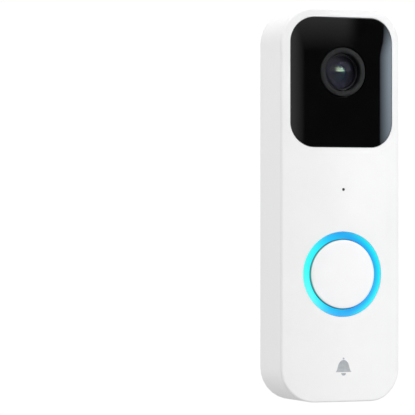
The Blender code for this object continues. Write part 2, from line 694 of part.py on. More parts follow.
def make_button(unit):
    def disc(radius):
        return circle(radius, 40)

    press = joint_empty("button_axis", (0, 21.5, BUTTON_Z), unit)
    top = [(disc(CAP_RADIUS - 0.5 * (1 - cos(a))), under_crown(-CAP_PROUD + 0.5 * (1 - sin(a))))
           for a in (0, pi / 6, pi / 3, pi / 2)]
    cap = piece("button_cap", stacked([(disc(12.0), 21.0), (disc(12.0), 21.4), (disc(CAP_RADIUS), 21.4)] + top,
                                      (0, BUTTON_Z)), "white_abs", press, (0, 21.5, BUTTON_Z))
    hollow = turned([(2.8, 20.0), (10.2, 20.0), (10.2, 21.9), (2.8, 21.9)], (0, BUTTON_Z), 28, looped=True)
    cut(cap, hollow, "hollow")
    cut(cap, rod(3.2, 20.0, 21.1, (0, BUTTON_Z), 24), "stem_end")

    dome = [(0, 20.8), (1.8, 20.8), (3.2, 20.45), (9.6, 20.45), (9.6, 19.3), (11.4, 19.3), (11.4, 20.65),
            (3.4, 20.65), (2.0, 21.0), (0, 21.0)]
    piece("button_membrane", turned(dome, (0, BUTTON_Z), 24), "grey_silicone", unit, (0, 20.4, BUTTON_Z))
    body = block((-3.1, 3.1), (CHIP_FOOT, 20.2), (BUTTON_Z - 3.1, BUTTON_Z + 3.1), 0.15)
    switch = piece("button_switch", body, "epoxy_chip", unit, (0, 19.6, BUTTON_Z))
    cut(switch, rod(1.5, 19.6, 21.0, (0, BUTTON_Z), 24), "plunger_well")
    plunger = joint_empty("switch_plunger_axis", (0, 20.3, BUTTON_Z), unit)
    piece("switch_plunger", turned([(0, 19.9), (1.15, 19.9), (1.15, 20.6), (1.0, 20.73), (0, 20.73)],
                                   (0, BUTTON_Z), 20), "brass", plunger, (0, 20.3, BUTTON_Z))


# ---------------------------------------------------------------- electronics

def make_main_board(unit):
    outline = block((-BOARD_HALF, BOARD_HALF), (BOARD_REAR, BOARD_FRONT), (BOARD_LOW, BOARD_HIGH), 0.1)
    board = piece("main_board", outline, "circuit_laminate", unit, (0, 18.6, -17.5))
    cut(board, together(*[block((side * 17.0 - 1.5, side * 17.0 + 1.5), (17.0, 20.0), (-54.0, -48.0))
                          for _, side in mirrored_pairs()]), "corner_notches")
    package = block((-12.6, -2.6), (CHIP_FOOT, 20.2), (CHIP_Z - 5.0, CHIP_Z + 5.0), 0.15)
    piece("processor", package, "epoxy_chip", unit, (-7.6, 19.7, CHIP_Z))
    shell = block((0.6, 14.6), (CHIP_FOOT, 20.4), (CHIP_Z - 5.4, CHIP_Z + 5.4), 0.25)
    shield = piece("wireless_shield", shell, "tinned_steel", unit, (7.6, 19.8, CHIP_Z))
    cut(shield, block((0.9, 14.3), (18.9, 20.15), (CHIP_Z - 5.1, CHIP_Z + 5.1)), "inside")
    piece("antenna", block((18.75, 19.05), (8.0, 15.0), (-30.0, 5.0)), "polyimide", unit, (18.9, 11.5, -12.5))
    can = block((-1.75, 1.75), (CHIP_FOOT, 20.15), (MICROPHONE_Z - 1.35, MICROPHONE_Z + 1.35), 0.1)
    mic = piece("microphone", can, "tinned_steel", unit, (0, 19.6, MICROPHONE_Z))
    cut(mic, rod(0.4, 19.7, 21.0, (0, MICROPHONE_Z), 12), "sound_port")
    piece("microphone_gasket", turned([(0.7, 20.3), (2.2, 20.3), (2.2, 21.45), (0.7, 21.45)], (0, MICROPHONE_Z),
                                      24, looped=True), "black_rubber", unit, (0, 20.9, MICROPHONE_Z))


def make_contacts(unit):
    """Sprung pins that meet the wall plate's terminal strips, in a block under the main board."""
    body = piece("contact_block", block((-12.0, 12.0), (6.3, 17.9), (11.0, 16.0), 0.3), "black_nylon", unit,
                 (0, 12.0, CONTACT_Z))
    bores = [turned([(0, 14.0), (1.6, 14.0), (1.6, 7.0), (1.05, 7.0), (1.05, 5.5), (0, 5.5)],
                    (side * TERMINAL_X, CONTACT_Z), 20) for _, side in mirrored_pairs()]
    cut(body, together(*bores), "bores")
    for name, side in mirrored_pairs():
        slide = joint_empty("contact_pin_" + name + "_axis", (side * TERMINAL_X, 6.0, CONTACT_Z), unit)
        pin = [(0, 2.55), (0.4, 2.62), (0.75, 3.1), (0.75, 7.3), (1.3, 7.3), (1.3, 12.6), (0, 12.6)]
        piece("contact_pin_" + name, turned(pin, (side * TERMINAL_X, CONTACT_Z), 16), "gold_plate", slide,
              (side * TERMINAL_X, 6.0, CONTACT_Z))


def upright_stack(sections):
    """Solid through (outline, z) sections, each outline lying in x and depth about the speaker."""
    shape = stacked([(chain, -height) for chain, height in sections])
    shape.transform(Matrix.Rotation(pi / 2, 4, "X"))
    shape.transform(Matrix.Translation(place(0, SPEAKER_DEPTH, 0)))
    return finish_shape(shape)


def speaker_piece(name, sections, finish, unit):
    middle = (sections[0][1] + sections[-1][1]) / 2
    return piece(name, upright_stack(sections), finish, unit, (0, SPEAKER_DEPTH, middle))


def make_speaker(unit):
    face = rounded(*SPEAKER_FACE, 2.0, 4)
    well = rounded(*SPEAKER_WELL, 2.0, 4)
    rim = rounded(*CONE_RIM, 1.8, 4)
    middle = rounded(*CONE_MIDDLE, 1.2, 4)
    frame = speaker_piece("speaker_frame", [(face, SPEAKER_LOW), (face, SPEAKER_HIGH)], "black_nylon", unit)
    cut(frame, upright_stack([(well, SPEAKER_LOW - 0.9), (well, -58.0)]), "cone_well")
    cone = [(rim, -61.3), (rim, -60.9), (middle, -60.2), (middle, -60.6)]
    speaker_piece("speaker_cone", cone, "paper_cone", unit)
    gasket = speaker_piece("speaker_gasket", [(face, GASKET_LOW), (face, GASKET_HIGH)], "black_rubber", unit)
    cut(gasket, upright_stack([(well, -64.0), (well, -61.0)]), "opening")


# ---------------------------------------------------------------- batteries

def make_batteries(unit):
    high = CELL_LOW + CELL_LENGTH
    for name, side in mirrored_pairs():
        nub = [(0, CELL_LENGTH), (2.5, CELL_LENGTH), (2.75, CELL_LENGTH - 0.3), (2.75, CELL_LENGTH - 1.2),
               (CELL_RADIUS - 0.6, CELL_LENGTH - 1.2), (CELL_RADIUS, CELL_LENGTH - 1.8), (CELL_RADIUS, 0.5),
               (CELL_RADIUS - 0.6, 0.0), (0, 0.0)]
        # one cell stands on its head, so that the two are in series
        profile = [(radius, CELL_LOW + height if side < 0 else high - height) for radius, height in nub]
        piece("battery_" + name, turned(profile, (side * CELL_SPREAD, CELL_DEPTH), 24, upright=True),
              "cell_jacket", unit, (side * CELL_SPREAD, CELL_DEPTH, CELL_LOW + CELL_LENGTH / 2))

    strip = [(-13.5, -52.9), (-10.5, -52.9), (-7.5, -50.75), (-4.5, -52.9), (4.5, -52.9), (6.5, -51.5),
             (8.5, -51.5), (10.5, -52.9), (13.5, -52.9)]
    piece("contact_bridge", ribbon(strip, STRIP_THICK, STRIP_DEPTHS, upright=True), "sprung_steel", unit,
          (0, CELL_DEPTH, -52.9))
    tab = [(-13.5, 2.1), (-10.0, 2.1), (-8.6, 1.0), (-6.4, 1.0), (-5.0, 2.1), (-1.5, 2.1)]
    piece("contact_plate", ribbon(tab, STRIP_THICK, STRIP_DEPTHS, upright=True), "sprung_steel", unit,
          (-CELL_SPREAD, CELL_DEPTH, 2.1))
    spring = [(1.5, 2.1), (5.0, 2.1), (7.55, 0.55), (10.1, 2.1), (13.5, 2.1)]
    piece("contact_spring", ribbon(spring, STRIP_THICK, STRIP_DEPTHS, upright=True), "sprung_steel", unit,
          (CELL_SPREAD, CELL_DEPTH, 2.1))

    middle = (BAY_LOW + BAY_HIGH) / 2
    tall = BAY_HIGH - BAY_LOW
    inner = rounded(2 * BAY_HALF + 1.0, tall + 1.0, 3.3, 4)
    outer = rounded(2 * BAY_HALF + 3.8, tall + 3.8, 4.6, 4)
    frame = [(outer, 2.1), (outer, 4.2), (inner, 4.2), (inner, 2.1)]
    piece("battery_seal", stacked(frame, (0, middle), looped=True), "black_rubber", unit, (0, 3.1, middle))


# ---------------------------------------------------------------- assembly

def main():
    for thing in list(bpy.data.objects):
        bpy.data.objects.remove(thing, do_unlink=True)
    make_wall_plate()
    make_latch()
    unit = joint_empty("camera_unit_axis", TILT_AXIS)
    make_rear_housing(unit)
    make_front_cover(unit)
    make_case_fixings(unit)
    make_window(unit)
    make_lens(unit)
    make_filter(unit)
    make_camera_board(unit)
    make_light_ring(unit)
    make_button(unit)
    make_main_board(unit)
    make_contacts(unit)
    make_speaker(unit)
    make_batteries(unit)


main()
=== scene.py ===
import json
from math import cos, pi, radians, sin, tau

import bmesh
import bpy
import numpy as np
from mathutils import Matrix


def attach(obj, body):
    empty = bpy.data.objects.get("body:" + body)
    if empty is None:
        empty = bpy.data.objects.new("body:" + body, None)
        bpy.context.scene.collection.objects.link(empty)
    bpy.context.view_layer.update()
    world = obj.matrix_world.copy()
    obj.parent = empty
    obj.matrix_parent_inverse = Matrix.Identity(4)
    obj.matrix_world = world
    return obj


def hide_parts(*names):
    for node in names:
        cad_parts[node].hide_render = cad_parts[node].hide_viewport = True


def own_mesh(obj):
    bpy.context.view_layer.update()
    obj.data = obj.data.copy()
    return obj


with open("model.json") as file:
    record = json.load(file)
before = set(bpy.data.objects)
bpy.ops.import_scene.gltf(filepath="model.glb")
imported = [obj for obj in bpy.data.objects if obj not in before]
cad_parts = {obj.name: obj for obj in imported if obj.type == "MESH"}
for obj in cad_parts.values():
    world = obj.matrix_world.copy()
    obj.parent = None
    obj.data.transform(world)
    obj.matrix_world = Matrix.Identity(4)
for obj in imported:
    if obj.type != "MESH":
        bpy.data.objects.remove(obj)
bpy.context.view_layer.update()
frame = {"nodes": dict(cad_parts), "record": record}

nodes = frame["nodes"]
mm = 0.001

# The case, in millimetres: x to the right, depth out from the wall, z up
case = {
    "halfWidth": 21.2, "halfHeight": 65.0, "corner": 11.0,
    "seamRear": 20.05, "seamFront": 20.4, "front": 23.2, "sag": 2.1, "fillet": 0.55,
    "windowZ": 40.75, "lensZ": 44.2, "soundZ": 5.3, "buttonZ": -22.75, "markZ": -53.4,
}
crownRadius = (case["halfWidth"] ** 2 + case["sag"] ** 2) / (2 * case["sag"])


def crown(x):
    # depth of the front face: an arc of crownRadius about an upright axis
    return case["front"] - crownRadius + np.sqrt(crownRadius ** 2 - x ** 2)


def crownFace(x, z):
    # the same, asked for by a point of the front
    return crown(x)


def place(x, depth, z):
    # points of the frame, in metres, from millimetres across, out from the wall and up
    x, depth, z = np.broadcast_arrays(x, depth, z)
    return np.stack([x, -depth, z], axis=-1) * mm


def smoothStep(value, low, high):
    # 0 below low, 1 above high, and an even cubic ease from one to the other
    t = np.clip((value - low) / (high - low), 0.0, 1.0)
    return t * t * (3 - 2 * t)


def roundedPath(halfWidth, halfHeight, radius, distance):
    # walks round a rounded rectangle from the middle of its right side upwards: on a straight
    # the corner centre slides, in a corner only the direction turns
    flat = halfWidth - radius
    rise = halfHeight - radius
    arc = pi * radius / 2
    steps = np.cumsum([0, rise, arc, 2 * flat, arc, 2 * rise, arc, 2 * flat, arc, rise])
    centreX = np.array([1, 1, 1, -1, -1, -1, -1, 1, 1, 1]) * flat
    centreZ = np.array([0, 1, 1, 1, 1, -1, -1, -1, -1, 0]) * rise
    turn = np.array([0, 0, 1, 1, 2, 2, 3, 3, 4, 4]) * pi / 2
    distance = np.mod(distance, steps[-1])
    angle = np.interp(distance, steps, turn)
    direction = np.stack([np.cos(angle), np.sin(angle)], axis=-1)
    centre = np.stack([np.interp(distance, steps, centreX), np.interp(distance, steps, centreZ)], axis=-1)
    return centre + radius * direction, direction


def perimeter(halfWidth, halfHeight, radius):
    # the four sides of the box, less two radii at each corner, plus one whole circle
    return 4 * (halfWidth + halfHeight) - 8 * radius + tau * radius


def spread(start, end, count):
    # evenly spaced numbers from start towards end, with the end itself left out
    return np.linspace(start, end, count, endpoint=False)


# How many points each side of a zone of the front face has
sides = {"across": 44, "window": 44, "sound": 14, "button": 34, "foot": 40}


def circleLoop(radius, z, across, upright):
    # four quarter arcs, from the lower left round to the right
    quarters = [spread(-0.75 * pi, -0.25 * pi, across), spread(-0.25 * pi, 0.25 * pi, upright),
                spread(0.25 * pi, 0.75 * pi, across), spread(0.75 * pi, 1.25 * pi, upright)]
    angle = np.concatenate(quarters)
    return np.stack([radius * np.cos(angle), z + radius * np.sin(angle)], axis=-1)


def roundedLoop(halfWidth, halfHeight, radius, z, across, upright):
    # the same four sides, each from the middle of one corner to the middle of the next
    arc = pi * radius / 4
    rise = 2 * (halfHeight - radius) + 2 * arc
    run = 2 * (halfWidth - radius) + 2 * arc
    start = -rise / 2 - run
    lengths = [spread(start, start + run, across), spread(start + run, start + run + rise, upright),
               spread(rise / 2, rise / 2 + run, across), spread(rise / 2 + run, rise * 1.5 + run, upright)]
    points, direction = roundedPath(halfWidth, halfHeight, radius, np.concatenate(lengths))
    return points + [0, z], direction


def segmentLoop(half, z, across, upright):
    # a flat line walked there and back, for a zone without a hole
    x = np.concatenate([spread(-half, half, across), np.full(upright, half),
                        spread(half, -half, across), np.full(upright, -half)])
    return np.stack([x, np.full_like(x, z)], axis=-1)


# Heights where the front face is divided into its zones, and the flat line in the lowest one
splits = {"window": 13.0, "sound": -5.0, "button": -41.0, "foot": -53.0, "footHalf": 9.0}

# The camera window, which gives the cover's opening its outline
window = {"halfWidth": 18.3, "halfHeight": 21.45, "corner": 8.2, "hole": 8.4, "thick": 1.5, "edge": 0.07,
          "across": 44, "upright": 44, "rings": 14, "backRings": 4, "rimRows": 6, "hold": 0.004}


def leftSide(z):
    # distance round the outline of a height on the left side
    return perimeter(case["halfWidth"], case["halfHeight"], case["corner"]) / 2 - z


def outlineZones():
    # where each zone's stretch of the outline has its points, as distances round the case
    full = perimeter(case["halfWidth"], case["halfHeight"], case["corner"])
    top = spread(splits["window"], leftSide(splits["window"]), 2 * sides["window"] + sides["across"])
    foot = spread(leftSide(splits["button"]), full + splits["button"], 2 * sides["foot"] + sides["across"])
    soundRise = spread(splits["sound"], splits["window"], sides["sound"])
    buttonRise = spread(splits["button"], splits["sound"], sides["button"])
    soundFall = leftSide(spread(splits["window"], splits["sound"], sides["sound"]))
    buttonFall = leftSide(spread(splits["sound"], splits["button"], sides["button"]))
    return top, foot, soundRise, buttonRise, soundFall, buttonFall


def outlineLoop():
    # those stretches joined, once round from the right side upwards
    top, foot, soundRise, buttonRise, soundFall, buttonFall = outlineZones()
    return np.concatenate([buttonRise, soundRise, top, soundFall, buttonFall, foot])


def insetPoints(distance, inset):
    # the outline's points at these distances, each moved straight inwards by inset
    points, direction = roundedPath(case["halfWidth"], case["halfHeight"], case["corner"], distance)
    return points - direction * inset


def splitLine(z, inset, forward=True):
    # a straight line across the face at height z, from one inset side to the other
    edge = case["halfWidth"] - inset
    x = spread(-edge, edge, sides["across"]) if forward else spread(edge, -edge, sides["across"])
    return np.stack([x, np.full_like(x, z)], axis=-1)


def faceZones(inset, holes):
    # pairs of loops: the hole of a zone and the zone's border, point for point
    top, foot, soundRise, buttonRise, soundFall, buttonFall = outlineZones()
    windowZone = np.concatenate([splitLine(splits["window"], inset), insetPoints(top, inset)])
    soundZone = np.concatenate([splitLine(splits["sound"], inset), insetPoints(soundRise, inset),
                                splitLine(splits["window"], inset, False), insetPoints(soundFall, inset)])
    buttonZone = np.concatenate([splitLine(splits["button"], inset), insetPoints(buttonRise, inset),
                                 splitLine(splits["sound"], inset, False), insetPoints(buttonFall, inset)])
    footZone = np.concatenate([insetPoints(foot, inset), splitLine(splits["button"], inset, False)])
    footZone = np.roll(footZone, -sides["foot"], axis=0)
    return list(zip(holes, (windowZone, soundZone, buttonZone, footZone)))


def faceHoles(room, soundRadius, buttonRadius):
    # the window's opening with room round it, the two round holes, and the line in the lowest zone
    across = sides["across"]
    opening, _ = roundedLoop(window["halfWidth"] + room, window["halfHeight"] + room,
                             window["corner"] + room, case["windowZ"], across, sides["window"])
    return (opening, circleLoop(soundRadius, case["soundZ"], across, sides["sound"]),
            circleLoop(buttonRadius, case["buttonZ"], across, sides["button"]),
            segmentLoop(splits["footHalf"], splits["foot"], across, sides["foot"]))


def between(inner, outer, rings, depthOf, hold=0.012):
    # straight lines from each inner point to the outer point of the same number, with one extra
    # row close to each end, which keeps a rounded lip from bending the shading of the flat
    even = np.linspace(0, 1, rings + 1)
    share = np.sort(np.append(even, [hold, 1 - hold]))[:, None, None]
    flat = inner[None] * (1 - share) + outer[None] * share
    return place(flat[..., 0], depthOf(flat[..., 0], flat[..., 1]), flat[..., 1])


def sweepOutline(rows, distance):
    # one row of points round the case for each (inset, depth) pair
    made = []
    for inset, depth in rows:
        flat = insetPoints(distance, inset)
        level = depth(flat[:, 0], flat[:, 1]) if callable(depth) else depth
        made.append(place(flat[:, 0], level, flat[:, 1]))
    return np.array(made)


def turned(profile, z, steps):
    # solid of revolution: each (radius, depth) pair is a ring; a pair with "crown" hangs from
    # the front face by that much instead
    angle = spread(0, tau, steps)
    made = []
    for radius, depth, *below in profile:
        across = radius * np.cos(angle)
        level = crown(across) - depth if below else np.full_like(across, depth)
        made.append(place(across, level, z + radius * np.sin(angle)))
    return np.array(made)


def makePiece(name, grids, body, replaced, material, sharp=32, loops=True):
    # each grid of points becomes a strip of quads, closed round when loops is true; an edge
    # that turns more than sharp degrees stays crisp
    points = []
    faces = []
    start = 0
    for grid in grids:
        rows, columns = grid.shape[:2]
        index = np.arange(rows * columns).reshape(rows, columns) + start
        right = np.roll(index, -1, axis=1) if loops else index[:, 1:]
        left = index if loops else index[:, :-1]
        quads = np.stack([left[:-1], right[:-1], right[1:], left[1:]], axis=-1).reshape(-1, 4)
        points.append(grid.reshape(-1, 3))
        faces.append(quads)
        start += rows * columns
    mesh = bpy.data.meshes.new(name)
    mesh.from_pydata(np.concatenate(points).tolist(), [], np.concatenate(faces).tolist())
    return finishPiece(name, mesh, body, replaced, material, sharp)


def finishPiece(name, mesh, body, replaced, material, sharp):
    # welds the mesh, turns its faces outwards, shades it and puts it on its body
    shape = bmesh.new()
    shape.from_mesh(mesh)
    bmesh.ops.remove_doubles(shape, verts=shape.verts, dist=2e-6)
    bmesh.ops.recalc_face_normals(shape, faces=shape.faces)
    shape.to_mesh(mesh)
    shape.free()
    mesh.shade_smooth()
    mesh.set_sharp_from_angle(angle=radians(sharp))
    made = bpy.data.objects.new(name, mesh)
    bpy.context.scene.collection.objects.link(made)
    mesh.materials.append(material)
    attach(made, body)
    if replaced:
        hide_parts(*replaced)
    return made


def refined(name, source, body, material, sharp=24):
    # a welded copy of a CAD solid with its curved walls shaded smooth
    return finishPiece(name, nodes[source].data.copy(), body, [source], material, sharp)


def linear(code):
    # sRGB hex to linear: a straight line near black, then a power curve
    values = [int(code[i:i + 2], 16) / 255 for i in (0, 2, 4)]
    return [v / 12.92 if v <= 0.04045 else ((v + 0.055) / 1.055) ** 2.4 for v in values] + [1.0]


def addNode(tree, kind, settings=None, links=None):
    # settings are the node's own options or its inputs' values; links feed its inputs
    node = tree.nodes.new(kind)
    for key, value in (settings or {}).items():
        if isinstance(key, str) and hasattr(node, key):
            setattr(node, key, value)
        else:
            node.inputs[key].default_value = value
    for key, source in (links or {}).items():
        tree.links.new(source, node.inputs[key])
    return node


def newMaterial(name, **sockets):
    # a plain shaded material, and the object coordinates that its patterns read
    material = bpy.data.materials.new(name)
    material.use_nodes = True
    tree = material.node_tree
    shader = tree.nodes["Principled BSDF"]
    for key, value in sockets.items():
        shader.inputs[key.replace("_", " ")].default_value = value
    spot = addNode(tree, "ShaderNodeTexCoord").outputs["Object"]
    return material, tree, shader, spot


def cloud(tree, spot, size, detail=3.0):
    # soft noise whose blotches are size millimetres across
    settings = {"Scale": 1 / (size * mm), "Detail": detail, "Roughness": 0.55}
    return addNode(tree, "ShaderNodeTexNoise", settings, {"Vector": spot}).outputs["Fac"]


def spanOf(tree, value, low, high, start=0.35, end=0.65):
    # the stretch from start to end, mapped onto the one from low to high
    return addNode(tree, "ShaderNodeMapRange",
                   {"From Min": start, "From Max": end, "To Min": low, "To Max": high},
                   {"Value": value}).outputs["Result"]


def blendOf(tree, factor, first, second):
    # two colours mixed; each is a value, or the output of another node
    node = addNode(tree, "ShaderNodeMix", {"data_type": "RGBA"}, {0: factor})
    for i, colour in ((6, first), (7, second)):
        if isinstance(colour, bpy.types.NodeSocket):
            tree.links.new(colour, node.inputs[i])
        else:
            node.inputs[i].default_value = colour
    return node.outputs[2]


def driftOf(tree, spot, patch, dark, light):
    # colour that drifts between two close shades, in blotches of patch millimetres
    return blendOf(tree, spanOf(tree, cloud(tree, spot, patch), 0, 1), linear(dark), linear(light))


def grainOf(tree, shader, spot, size, height):
    # raised grain: size and height in millimetres
    bump = addNode(tree, "ShaderNodeBump", {"Strength": 1.0, "Distance": height * mm},
                   {"Height": cloud(tree, spot, size, 2.0)})
    tree.links.new(bump.outputs["Normal"], shader.inputs["Normal"])


def speckled(name, dark, light, patch, roughness, grain, height, **sockets):
    # drifting colour, roughness with a finer cloud, and a grain that stands up; grains are drawn
    # a few times coarser than the real ones, because those are too fine to show
    material, tree, shader, spot = newMaterial(name, **sockets)
    tree.links.new(driftOf(tree, spot, patch, dark, light), shader.inputs["Base Color"])
    tree.links.new(spanOf(tree, cloud(tree, spot, patch / 6), *roughness), shader.inputs["Roughness"])
    grainOf(tree, shader, spot, grain, height)
    return material


# ABS moulded in a spark-eroded tool: an even satin white, with a broad soft highlight
whitePlastic = speckled("whiteSatinPlastic", "EDEDED", "F0F0F0", 22, (0.36, 0.43), 0.28, 0.006, IOR=1.5)
# acrylic moulded over black: a mirror gloss with a faint orange peel
windowAcrylic = speckled("glossyBlackAcrylic", "020203", "040405", 12, (0.006, 0.014), 2.4, 0.0006,
                         IOR=1.49)
# glass-filled nylon of the lens ring and barrel, moulded matt: near black and hardly any shine
blackNylon = speckled("mattBlackNylon", "08090B", "0E0F11", 5, (0.42, 0.55), 0.12, 0.004,
                      Specular_IOR_Level=0.17)
# moulded black rubber: dull, no highlight
blackRubber = speckled("blackRubber", "0A0A0A", "111111", 4, (0.65, 0.8), 0.2, 0.01)
# moulded silicone gaskets: dark grey, dull and faintly mottled
greySilicone = speckled("greySilicone", "2C2C2D", "363637", 6, (0.55, 0.7), 0.25, 0.01)
# open-cell foam tape: black and rough, with pores
foamTape = speckled("blackFoamTape", "181818", "2A2A2A", 0.6, (0.85, 0.95), 0.25, 0.06)
# transfer-moulded epoxy of the chips: dark grey, half matt
chipEpoxy = speckled("chipEpoxy", "161617", "202022", 1.5, (0.4, 0.55), 0.1, 0.004)
# cast epoxy of the lamps: water clear and glossy
clearEpoxy = speckled("clearEpoxy", "D8DCDF", "E4E8EA", 2, (0.08, 0.16), 0.6, 0.001,
                      Transmission_Weight=0.6)
# polyimide film over copper: amber with a soft gloss
polyimide = speckled("polyimideFilm", "9A5A16", "B06C20", 3, (0.3, 0.42), 0.4, 0.003)
# shrunk sleeve of a battery cell: dark blue-grey film with a clear gloss
cellJacket = speckled("cellJacket", "1C2630", "263340", 8, (0.25, 0.35), 0.8, 0.004)
# pressed paper of the speaker cone: brown-grey, fibrous and matt
paperCone = speckled("paperCone", "25211D", "383029", 1.2, (0.8, 0.92), 0.15, 0.03)
# pressed tinned steel: bright grey with a blurred shine
tinnedSteel = speckled("tinnedSteel", "B9B8B4", "CCCBC7", 3, (0.28, 0.42), 0.15, 0.002, Metallic=1.0)
# drawn spring steel: a warmer, slightly darker grey
springSteel = speckled("springSteel", "AFABA4", "C4C1BB", 2, (0.24, 0.36), 0.12, 0.002, Metallic=1.0)
# turned brass: yellow with a blurred shine
turnedBrass = speckled("turnedBrass", "C39A55", "D4AD68", 2, (0.24, 0.36), 0.12, 0.002, Metallic=1.0)
# gold flash on the spring pins: a deeper yellow, a little smoother
goldPlate = speckled("goldPlate", "CDA24C", "DDB45E", 1.5, (0.2, 0.3), 0.1, 0.001, Metallic=1.0)
# pad-printed ink of the mark: flat mid grey, slightly uneven
markInk = speckled("greyPadPrint", "A4A8AD", "B2B7BB", 1.4, (0.45, 0.6), 0.12, 0.002)


def centreNodes(tree, spot, z):
    # how far a point is to the right of an upright line, and its distance from a point on that
    # line at height z, both seen from the front
    apart = addNode(tree, "ShaderNodeSeparateXYZ", links={"Vector": spot})
    rise = addNode(tree, "ShaderNodeMath", {"operation": "SUBTRACT", 1: z * mm}, {0: apart.outputs["Z"]})
    flat = addNode(tree, "ShaderNodeCombineXYZ", links={"X": apart.outputs["X"], "Z": rise.outputs[0]})
    radius = addNode(tree, "ShaderNodeVectorMath", {"operation": "LENGTH"}, {0: flat.outputs[0]})
    return apart.outputs["X"], radius.outputs["Value"]


def makeCapPlastic():
    # smoother ABS for the button: a cleaner white face; its side wall is painted grey, a painted shade
    # standing for the shade of the slit it looks down into
    material, tree, shader, spot = newMaterial("whiteButtonPlastic", IOR=1.5)
    _, radius = centreNodes(tree, spot, case["buttonZ"])
    # painted shade: past 11.33 mm from the middle, on the side wall, the white turns to grey A0A6A8 for the
    # shade of the slit
    wall = spanOf(tree, radius, 0, 1, 0.01133, 0.01136)
    white = driftOf(tree, spot, 16, "F0F0F1", "F3F3F4")
    tree.links.new(blendOf(tree, wall, white, linear("A0A6A8")), shader.inputs["Base Color"])
    tree.links.new(spanOf(tree, cloud(tree, spot, 3), 0.34, 0.42), shader.inputs["Roughness"])
    grainOf(tree, shader, spot, 0.2, 0.003)
    return material


def makeLaminate():
    # glass-epoxy board under a green solder mask: lighter lines every 1.1 mm where the copper
    # runs, drawn coarser than real tracks so that they show
    material, tree, shader, spot = newMaterial("greenLaminate", IOR=1.5)
    turn = addNode(tree, "ShaderNodeMapping", {"Rotation": (pi / 2, 0, 0)}, {"Vector": spot})
    black = (0, 0, 0, 1)
    settings = {"Scale": 1.0, "Mortar Size": 0.00018, "Brick Width": 0.0042, "Row Height": 0.0011,
                "Color1": black, "Color2": black, "Mortar": (1, 1, 1, 1)}
    bricks = addNode(tree, "ShaderNodeTexBrick", settings, {"Vector": turn.outputs["Vector"]})
    tree.links.new(blendOf(tree, bricks.outputs["Color"], linear("0E4A2C"), linear("1C6A40")),
                   shader.inputs["Base Color"])
    tree.links.new(spanOf(tree, cloud(tree, spot, 1.5), 0.35, 0.5), shader.inputs["Roughness"])
    grainOf(tree, shader, spot, 0.5, 0.006)
    return material


def makeLensGlass():
    # polished glass with a faint blue coating, unevenly thick; its IOR is far below real glass,
    # which keeps the front lens clear and its own reflection weak, as on a coated lens
    material, tree, shader, spot = newMaterial("coatedLensGlass", IOR=1.1, Transmission_Weight=1.0)
    tree.links.new(driftOf(tree, spot, 6, "DCE4FF", "F4EEFF"), shader.inputs["Base Color"])
    tree.links.new(spanOf(tree, cloud(tree, spot, 4), 0.0, 0.02), shader.inputs["Roughness"])
    return material


def rampOf(tree, value, stops):
    # a colour ramp with one stop for each (position, hex) pair
    node = addNode(tree, "ShaderNodeValToRGB", links={"Fac": value})
    elements = node.color_ramp.elements
    while len(elements) < len(stops):
        elements.new(0.5)
    for element, (position, code) in zip(elements, stops):
        element.position = position
        element.color = linear(code)
    return node.outputs["Color"]


def makeLightGuide():
    # milky polycarbonate lit from behind: bluer over and under the button, greener at its sides, paler on
    # the left, and a little darker along its inner edge, where the fading glow is a painted shade of the
    # slit beside the cap
    material, tree, shader, spot = newMaterial("litDiffuser", Roughness=0.32, IOR=1.5)
    x, radius = centreNodes(tree, spot, case["buttonZ"])
    side = addNode(tree, "ShaderNodeMath", {"operation": "DIVIDE"}, {0: x, 1: radius}).outputs[0]
    across = spanOf(tree, side, 0, 1, -1, 1)
    outer = rampOf(tree, across, [(0.0, "40FFF4"), (0.1, "3AFAFC"), (0.3, "27C2FB"), (0.45, "22A9F6"),
                                  (0.58, "24B4F4"), (0.75, "1CDDF6"), (0.9, "14EFFD"), (1.0, "16EEFC")])
    inner = rampOf(tree, across, [(0.0, "34FCFC"), (0.12, "22F4FF"), (0.32, "1EC8FF"), (0.45, "1FBFF6"),
                                  (0.6, "22A2F8"), (0.8, "1F9FF6"), (1.0, "22A2EE")])
    colour = blendOf(tree, spanOf(tree, radius, 0, 1, 0.0117, 0.0136), inner, outer)
    # only the face glows: its two side walls are masked black, and the glow fades out over the face's
    # innermost band, a painted shade of the slit beside the cap
    lit = addNode(tree, "ShaderNodeMath", {"operation": "MULTIPLY"},
                  {0: spanOf(tree, radius, 0, 1, 0.0115, 0.01172),
                   1: spanOf(tree, radius, 1, 0, 0.01405, 0.01411)})
    tree.links.new(blendOf(tree, lit.outputs[0], linear("041015"), colour), shader.inputs["Emission Color"])
    shader.inputs["Emission Strength"].default_value = 0.97
    shader.inputs["Specular IOR Level"].default_value = 0.2
    tree.links.new(driftOf(tree, spot, 3, "041A22", "06202A"), shader.inputs["Base Color"])
    grainOf(tree, shader, spot, 0.3, 0.002)
    return material


def makeCoatedElement():
    # coated glass of the inner lenses: near black, deep blue towards the rim, its violet tint from the thin
    # film; the lighter blue-grey middle is a painted reflection of a pale pool
    material, tree, shader, spot = newMaterial("innerLensPaintedReflection", Roughness=0.06, IOR=1.5)
    shader.inputs["Thin Film Thickness"].default_value = 420
    shader.inputs["Thin Film IOR"].default_value = 1.38
    _, radius = centreNodes(tree, spot, case["lensZ"])
    # painted reflection: the base colour is lightest in the middle and darkens towards the rim
    share = spanOf(tree, radius, 0, 1, 0.0, 0.0044)
    stops = [(0.0, "2A2C3C"), (0.3, "1C2130"), (0.6, "12182A"), (1.0, "0A0F1C")]
    tree.links.new(rampOf(tree, share, stops), shader.inputs["Base Color"])
    grainOf(tree, shader, spot, 1.5, 0.0004)
    return material


laminate = makeLaminate()
lensGlass = makeLensGlass()
lightGuide = makeLightGuide()
capPlastic = makeCapPlastic()
innerLensFinish = makeCoatedElement()

